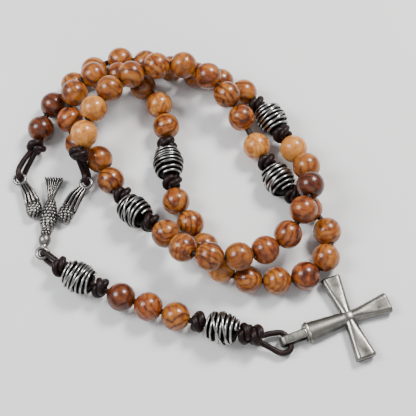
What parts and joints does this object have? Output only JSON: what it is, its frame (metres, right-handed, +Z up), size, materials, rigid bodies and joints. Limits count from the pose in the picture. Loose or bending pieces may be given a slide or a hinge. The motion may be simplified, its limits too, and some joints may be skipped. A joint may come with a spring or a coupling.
{
  "type": "rosary",
  "caption": "Rosary of turned wooden beads and wire-wrapped metal beads on a knotted leather cord, with a cast dove centrepiece and a flared cross.",
  "frame": {"origin": "on the surface that the rosary lies on, under the middle of the layout", "axes": "+Z up from the surface; +X along the longest side of the layout, from the dove's side to the cross's side"},
  "size_m": [0.1341, 0.1225, 0.0211],
  "materials": {
    "olive_wood": "glossy varnish over strong brown grain",
    "pewter": "bright pewter with a dark patina in the hollows",
    "leather": "dark brown round cord, slight sheen"
  },
  "bodies": {
    "loop": {"loop_cord": "leather"},
    "pendant": {"pendant_cord": "leather"},
    "dove": {"dove_centrepiece": "pewter"},
    "cross": {"cross": "pewter"},
    "decade1_bead01": {"decade1_bead01": "olive_wood"},
    "decade1_bead02": {"decade1_bead02": "olive_wood"},
    "decade1_bead03": {"decade1_bead03": "olive_wood"},
    "decade1_bead04": {"decade1_bead04": "olive_wood"},
    "decade1_bead05": {"decade1_bead05": "olive_wood"},
    "decade1_bead06": {"decade1_bead06": "olive_wood"},
    "decade1_bead07": {"decade1_bead07": "olive_wood"},
    "decade1_bead08": {"decade1_bead08": "olive_wood"},
    "decade1_bead09": {"decade1_bead09": "olive_wood"},
    "decade1_bead10": {"decade1_bead10": "olive_wood"},
    "our_father_bead1": {"our_father_bead1": "pewter"},
    "decade2_bead01": {"decade2_bead01": "olive_wood"},
    "decade2_bead02": {"decade2_bead02": "olive_wood"},
    "decade2_bead03": {"decade2_bead03": "olive_wood"},
    "decade2_bead04": {"decade2_bead04": "olive_wood"},
    "decade2_bead05": {"decade2_bead05": "olive_wood"},
    "decade2_bead06": {"decade2_bead06": "olive_wood"},
    "decade2_bead07": {"decade2_bead07": "olive_wood"},
    "decade2_bead08": {"decade2_bead08": "olive_wood"},
    "decade2_bead09": {"decade2_bead09": "olive_wood"},
    "decade2_bead10": {"decade2_bead10": "olive_wood"},
    "our_father_bead2": {"our_father_bead2": "pewter"},
    "decade3_bead01": {"decade3_bead01": "olive_wood"},
    "decade3_bead02": {"decade3_bead02": "olive_wood"},
    "decade3_bead03": {"decade3_bead03": "olive_wood"},
    "decade3_bead04": {"decade3_bead04": "olive_wood"},
    "decade3_bead05": {"decade3_bead05": "olive_wood"},
    "decade3_bead06": {"decade3_bead06": "olive_wood"},
    "decade3_bead07": {"decade3_bead07": "olive_wood"},
    "decade3_bead08": {"decade3_bead08": "olive_wood"},
    "decade3_bead09": {"decade3_bead09": "olive_wood"},
    "decade3_bead10": {"decade3_bead10": "olive_wood"},
    "our_father_bead3": {"our_father_bead3": "pewter"},
    "decade4_bead01": {"decade4_bead01": "olive_wood"},
    "decade4_bead02": {"decade4_bead02": "olive_wood"},
    "decade4_bead03": {"decade4_bead03": "olive_wood"},
    "decade4_bead04": {"decade4_bead04": "olive_wood"},
    "decade4_bead05": {"decade4_bead05": "olive_wood"},
    "decade4_bead06": {"decade4_bead06": "olive_wood"},
    "decade4_bead07": {"decade4_bead07": "olive_wood"},
    "decade4_bead08": {"decade4_bead08": "olive_wood"},
    "decade4_bead09": {"decade4_bead09": "olive_wood"},
    "decade4_bead10": {"decade4_bead10": "olive_wood"},
    "our_father_bead4": {"our_father_bead4": "pewter"},
    "decade5_bead01": {"decade5_bead01": "olive_wood"},
    "decade5_bead04": {"decade5_bead04": "olive_wood"},
    "decade5_bead05": {"decade5_bead05": "olive_wood"},
    "decade5_bead06": {"decade5_bead06": "olive_wood"},
    "decade5_bead07": {"decade5_bead07": "olive_wood"},
    "decade5_bead08": {"decade5_bead08": "olive_wood"},
    "decade5_bead09": {"decade5_bead09": "olive_wood"},
    "decade5_bead10": {"decade5_bead10": "olive_wood"},
    "pendant_our_father_upper": {"pendant_our_father_upper": "pewter"},
    "pendant_our_father_lower": {"pendant_our_father_lower": "pewter"},
    "decade5_bead02_03": {"decade5_bead02_03": "olive_wood"},
    "pendant_hail_mary_beads": {"pendant_hail_mary_beads": "olive_wood"}
  },
  "joints": [
    {"name": "decade1_bead01_spin", "type": "hinge", "parent": "loop", "child": "decade1_bead01", "pos_m": [-0.03977, 0.01959, 0.01443], "axis": [0.2129, 0.9281, 0.3054], "continuous": true},
    {"name": "decade1_bead02_spin", "type": "hinge", "parent": "loop", "child": "decade1_bead02", "pos_m": [-0.0366, 0.02886, 0.01617], "axis": [0.4178, 0.9078, 0.0363], "continuous": true},
    {"name": "decade1_bead03_spin", "type": "hinge", "parent": "loop", "child": "decade1_bead03", "pos_m": [-0.03134, 0.0373, 0.01609], "axis": [0.6517, 0.7582, -0.0184], "continuous": true},
    {"name": "decade1_bead04_spin", "type": "hinge", "parent": "loop", "child": "decade1_bead04", "pos_m": [-0.02363, 0.0436, 0.01599], "axis": [0.8599, 0.5104, -0.0044], "continuous": true},
    {"name": "decade1_bead05_spin", "type": "hinge", "parent": "loop", "child": "decade1_bead05", "pos_m": [-0.01446, 0.04746, 0.0158], "axis": [0.9704, 0.2384, -0.04], "continuous": true},
    {"name": "decade1_bead06_spin", "type": "hinge", "parent": "loop", "child": "decade1_bead06", "pos_m": [-0.00456, 0.04814, 0.01515], "axis": [0.9873, -0.1271, -0.0953], "continuous": true},
    {"name": "decade1_bead07_spin", "type": "hinge", "parent": "loop", "child": "decade1_bead07", "pos_m": [0.00452, 0.0443, 0.01379], "axis": [0.7861, -0.5953, -0.1662], "continuous": true},
    {"name": "decade1_bead08_spin", "type": "hinge", "parent": "loop", "child": "decade1_bead08", "pos_m": [0.01152, 0.03758, 0.01158], "axis": [0.6183, -0.7291, -0.2935], "continuous": true},
    {"name": "decade1_bead09_spin", "type": "hinge", "parent": "loop", "child": "decade1_bead09", "pos_m": [0.01681, 0.02993, 0.00805], "axis": [0.4624, -0.804, -0.3738], "continuous": true},
    {"name": "decade1_bead10_spin", "type": "hinge", "parent": "loop", "child": "decade1_bead10", "pos_m": [0.02227, 0.01937, 0.00556], "axis": [0.4246, -0.9053, -0.014], "continuous": true},
    {"name": "our_father_bead1_spin", "type": "hinge", "parent": "loop", "child": "our_father_bead1", "pos_m": [0.02986, 0.00582, 0.00561], "axis": [0.5779, -0.8151, -0.0404], "continuous": true},
    {"name": "decade2_bead01_spin", "type": "hinge", "parent": "loop", "child": "decade2_bead01", "pos_m": [0.04022, -0.00571, 0.00502], "axis": [0.7573, -0.653, -0.0094], "continuous": true},
    {"name": "decade2_bead02_spin", "type": "hinge", "parent": "loop", "child": "decade2_bead02", "pos_m": [0.04632, -0.01431, 0.005], "axis": [0.2728, -0.9621, 0], "continuous": true},
    {"name": "decade2_bead03_spin", "type": "hinge", "parent": "loop", "child": "decade2_bead03", "pos_m": [0.04537, -0.02422, 0.005], "axis": [-0.4603, -0.8877, 0], "continuous": true},
    {"name": "decade2_bead04_spin", "type": "hinge", "parent": "loop", "child": "decade2_bead04", "pos_m": [0.03796, -0.03086, 0.005], "axis": [-0.932, -0.3625, 0], "continuous": true},
    {"name": "decade2_bead05_spin", "type": "hinge", "parent": "loop", "child": "decade2_bead05", "pos_m": [0.02818, -0.0327, 0.005], "axis": [-0.9984, -0.0564, 0], "continuous": true},
    {"name": "decade2_bead06_spin", "type": "hinge", "parent": "loop", "child": "decade2_bead06", "pos_m": [0.01825, -0.03209, 0.005], "axis": [-0.9848, 0.1738, 0], "continuous": true},
    {"name": "decade2_bead07_spin", "type": "hinge", "parent": "loop", "child": "decade2_bead07", "pos_m": [0.00912, -0.02814, 0.005], "axis": [-0.7639, 0.6454, 0], "continuous": true},
    {"name": "decade2_bead08_spin", "type": "hinge", "parent": "loop", "child": "decade2_bead08", "pos_m": [0.00325, -0.02011, 0.00502], "axis": [-0.4677, 0.8838, 0.008], "continuous": true},
    {"name": "decade2_bead09_spin", "type": "hinge", "parent": "loop", "child": "decade2_bead09", "pos_m": [-0.00173, -0.0115, 0.00526], "axis": [-0.5361, 0.8431, 0.0417], "continuous": true},
    {"name": "decade2_bead10_spin", "type": "hinge", "parent": "loop", "child": "decade2_bead10", "pos_m": [-0.00687, -0.00299, 0.00573], "axis": [-0.4439, 0.895, 0.0436], "continuous": true},
    {"name": "our_father_bead2_spin", "type": "hinge", "parent": "loop", "child": "our_father_bead2", "pos_m": [-0.0099, 0.01212, 0.00596], "axis": [-0.0416, 0.9991, -0.0115], "continuous": true},
    {"name": "decade3_bead01_spin", "type": "hinge", "parent": "loop", "child": "decade3_bead01", "pos_m": [-0.01098, 0.02763, 0.00542], "axis": [-0.1213, 0.9914, -0.0488], "continuous": true},
    {"name": "decade3_bead02_spin", "type": "hinge", "parent": "loop", "child": "decade3_bead02", "pos_m": [-0.01379, 0.03717, 0.00507], "axis": [-0.461, 0.8872, -0.0185], "continuous": true},
    {"name": "decade3_bead03_spin", "type": "hinge", "parent": "loop", "child": "decade3_bead03", "pos_m": [-0.02007, 0.04488, 0.0055], "axis": [-0.7858, 0.5993, 0.1527], "continuous": true},
    {"name": "decade3_bead04_spin", "type": "hinge", "parent": "loop", "child": "decade3_bead04", "pos_m": [-0.02898, 0.04784, 0.00879], "axis": [-0.8964, 0.0053, 0.4432], "continuous": true},
    {"name": "decade3_bead05_spin", "type": "hinge", "parent": "loop", "child": "decade3_bead05", "pos_m": [-0.03795, 0.04545, 0.01238], "axis": [-0.8389, -0.5111, 0.1873], "continuous": true},
    {"name": "decade3_bead06_spin", "type": "hinge", "parent": "loop", "child": "decade3_bead06", "pos_m": [-0.04473, 0.0382, 0.01176], "axis": [-0.4282, -0.8424, -0.327], "continuous": true},
    {"name": "decade3_bead07_spin", "type": "hinge", "parent": "loop", "child": "decade3_bead07", "pos_m": [-0.04639, 0.02951, 0.0072], "axis": [0.0703, -0.8984, -0.4335], "continuous": true},
    {"name": "decade3_bead08_spin", "type": "hinge", "parent": "loop", "child": "decade3_bead08", "pos_m": [-0.04298, 0.0204, 0.00513], "axis": [0.6232, -0.7813, -0.0347], "continuous": true},
    {"name": "decade3_bead09_spin", "type": "hinge", "parent": "loop", "child": "decade3_bead09", "pos_m": [-0.03514, 0.01427, 0.00503], "axis": [0.7895, -0.6136, 0.0099], "continuous": true},
    {"name": "decade3_bead10_spin", "type": "hinge", "parent": "loop", "child": "decade3_bead10", "pos_m": [-0.03047, 0.00549, 0.0053], "axis": [0.2138, -0.976, 0.0412], "continuous": true},
    {"name": "our_father_bead3_spin", "type": "hinge", "parent": "loop", "child": "our_father_bead3", "pos_m": [-0.02146, -0.00716, 0.00646], "axis": [0.8025, -0.5893, 0.0937], "continuous": true},
    {"name": "decade4_bead01_spin", "type": "hinge", "parent": "loop", "child": "decade4_bead01", "pos_m": [-0.01014, -0.01716, 0.00974], "axis": [0.6019, -0.7067, 0.3719], "continuous": true},
    {"name": "decade4_bead02_spin", "type": "hinge", "parent": "loop", "child": "decade4_bead02", "pos_m": [-0.00405, -0.02398, 0.01366], "axis": [0.7143, -0.6084, 0.3457], "continuous": true},
    {"name": "decade4_bead03_spin", "type": "hinge", "parent": "loop", "child": "decade4_bead03", "pos_m": [0.00505, -0.02772, 0.01518], "axis": [0.992, -0.1201, -0.0387], "continuous": true},
    {"name": "decade4_bead04_spin", "type": "hinge", "parent": "loop", "child": "decade4_bead04", "pos_m": [0.0149, -0.02726, 0.0139], "axis": [0.9582, 0.2044, -0.2004], "continuous": true},
    {"name": "decade4_bead05_spin", "type": "hinge", "parent": "loop", "child": "decade4_bead05", "pos_m": [0.02397, -0.02391, 0.01154], "axis": [0.864, 0.4479, -0.2298], "continuous": true},
    {"name": "decade4_bead06_spin", "type": "hinge", "parent": "loop", "child": "decade4_bead06", "pos_m": [0.03198, -0.01802, 0.01115], "axis": [0.6738, 0.7144, 0.1888], "continuous": true},
    {"name": "decade4_bead07_spin", "type": "hinge", "parent": "loop", "child": "decade4_bead07", "pos_m": [0.03731, -0.0102, 0.01424], "axis": [0.4173, 0.8561, 0.3048], "continuous": true},
    {"name": "decade4_bead08_spin", "type": "hinge", "parent": "loop", "child": "decade4_bead08", "pos_m": [0.04018, -0.00068, 0.0142], "axis": [0.1208, 0.9442, -0.3064], "continuous": true},
    {"name": "decade4_bead09_spin", "type": "hinge", "parent": "loop", "child": "decade4_bead09", "pos_m": [0.03957, 0.00855, 0.01053], "axis": [-0.2559, 0.8994, -0.3544], "continuous": true},
    {"name": "decade4_bead10_spin", "type": "hinge", "parent": "loop", "child": "decade4_bead10", "pos_m": [0.03558, 0.01718, 0.00759], "axis": [-0.4883, 0.8418, -0.2302], "continuous": true},
    {"name": "our_father_bead4_spin", "type": "hinge", "parent": "loop", "child": "our_father_bead4", "pos_m": [0.02801, 0.03063, 0.00599], "axis": [-0.5053, 0.8629, -0.0116], "continuous": true},
    {"name": "decade5_bead01_spin", "type": "hinge", "parent": "loop", "child": "decade5_bead01", "pos_m": [0.01799, 0.04239, 0.00541], "axis": [-0.7819, 0.6209, -0.0564], "continuous": true},
    {"name": "decade5_bead04_spin", "type": "hinge", "parent": "loop", "child": "decade5_bead04", "pos_m": [-0.00966, 0.05314, 0.005], "axis": [-0.9593, 0.2825, 0], "continuous": true},
    {"name": "decade5_bead05_spin", "type": "hinge", "parent": "loop", "child": "decade5_bead05", "pos_m": [-0.01927, 0.05575, 0.005], "axis": [-0.9723, 0.2339, 0], "continuous": true},
    {"name": "decade5_bead06_spin", "type": "hinge", "parent": "loop", "child": "decade5_bead06", "pos_m": [-0.02914, 0.057, 0.005], "axis": [-0.9977, -0.0672, 0], "continuous": true},
    {"name": "decade5_bead07_spin", "type": "hinge", "parent": "loop", "child": "decade5_bead07", "pos_m": [-0.03897, 0.05266, 0.005], "axis": [-0.7793, -0.6267, 0], "continuous": true},
    {"name": "decade5_bead08_spin", "type": "hinge", "parent": "loop", "child": "decade5_bead08", "pos_m": [-0.04627, 0.0459, 0.005], "axis": [-0.683, -0.7304, 0], "continuous": true},
    {"name": "decade5_bead09_spin", "type": "hinge", "parent": "loop", "child": "decade5_bead09", "pos_m": [-0.05331, 0.037, 0.005], "axis": [-0.5377, -0.8431, 0], "continuous": true},
    {"name": "decade5_bead10_spin", "type": "hinge", "parent": "loop", "child": "decade5_bead10", "pos_m": [-0.05727, 0.02679, 0.005], "axis": [-0.1706, -0.9853, 0], "continuous": true},
    {"name": "pendant_our_father_upper_spin", "type": "hinge", "parent": "pendant", "child": "pendant_our_father_upper", "pos_m": [-0.03966, -0.03182, 0.00585], "axis": [0.8498, -0.523, 0.0666], "continuous": true},
    {"name": "pendant_our_father_lower_spin", "type": "hinge", "parent": "pendant", "child": "pendant_our_father_lower", "pos_m": [0.0092, -0.04972, 0.00582], "axis": [0.9739, -0.2271, -0.0057], "continuous": true},
    {"name": "decade5_bead02_03_spin", "type": "hinge", "parent": "loop", "child": "decade5_bead02_03", "pos_m": [0.00938, 0.04736, 0.00505], "axis": [-0.9536, 0.3009, -0.0045], "continuous": true},
    {"name": "pendant_hail_mary_beads_spin", "type": "hinge", "parent": "pendant", "child": "pendant_hail_mary_beads", "pos_m": [-0.01572, -0.0421, 0.00525], "axis": [0.9387, -0.3448, -0.0041], "continuous": true},
    {"name": "dove_swing", "type": "hinge", "parent": "loop", "child": "dove", "pos_m": [-0.05162, 0.00835, 0.0029], "axis": [-0.9979, 0.0645, 0], "range_deg": [0, 30]},
    {"name": "pendant_swing", "type": "hinge", "parent": "dove", "child": "pendant", "pos_m": [-0.05346, -0.02165, 0.0029], "axis": [0, 0, -1], "range_deg": [0, 55]},
    {"name": "cross_swing", "type": "hinge", "parent": "pendant", "child": "cross", "pos_m": [0.0318, -0.0529, 0.0022], "axis": [0.3579, -0.9338, 0], "range_deg": [0, 60]}
  ]
}
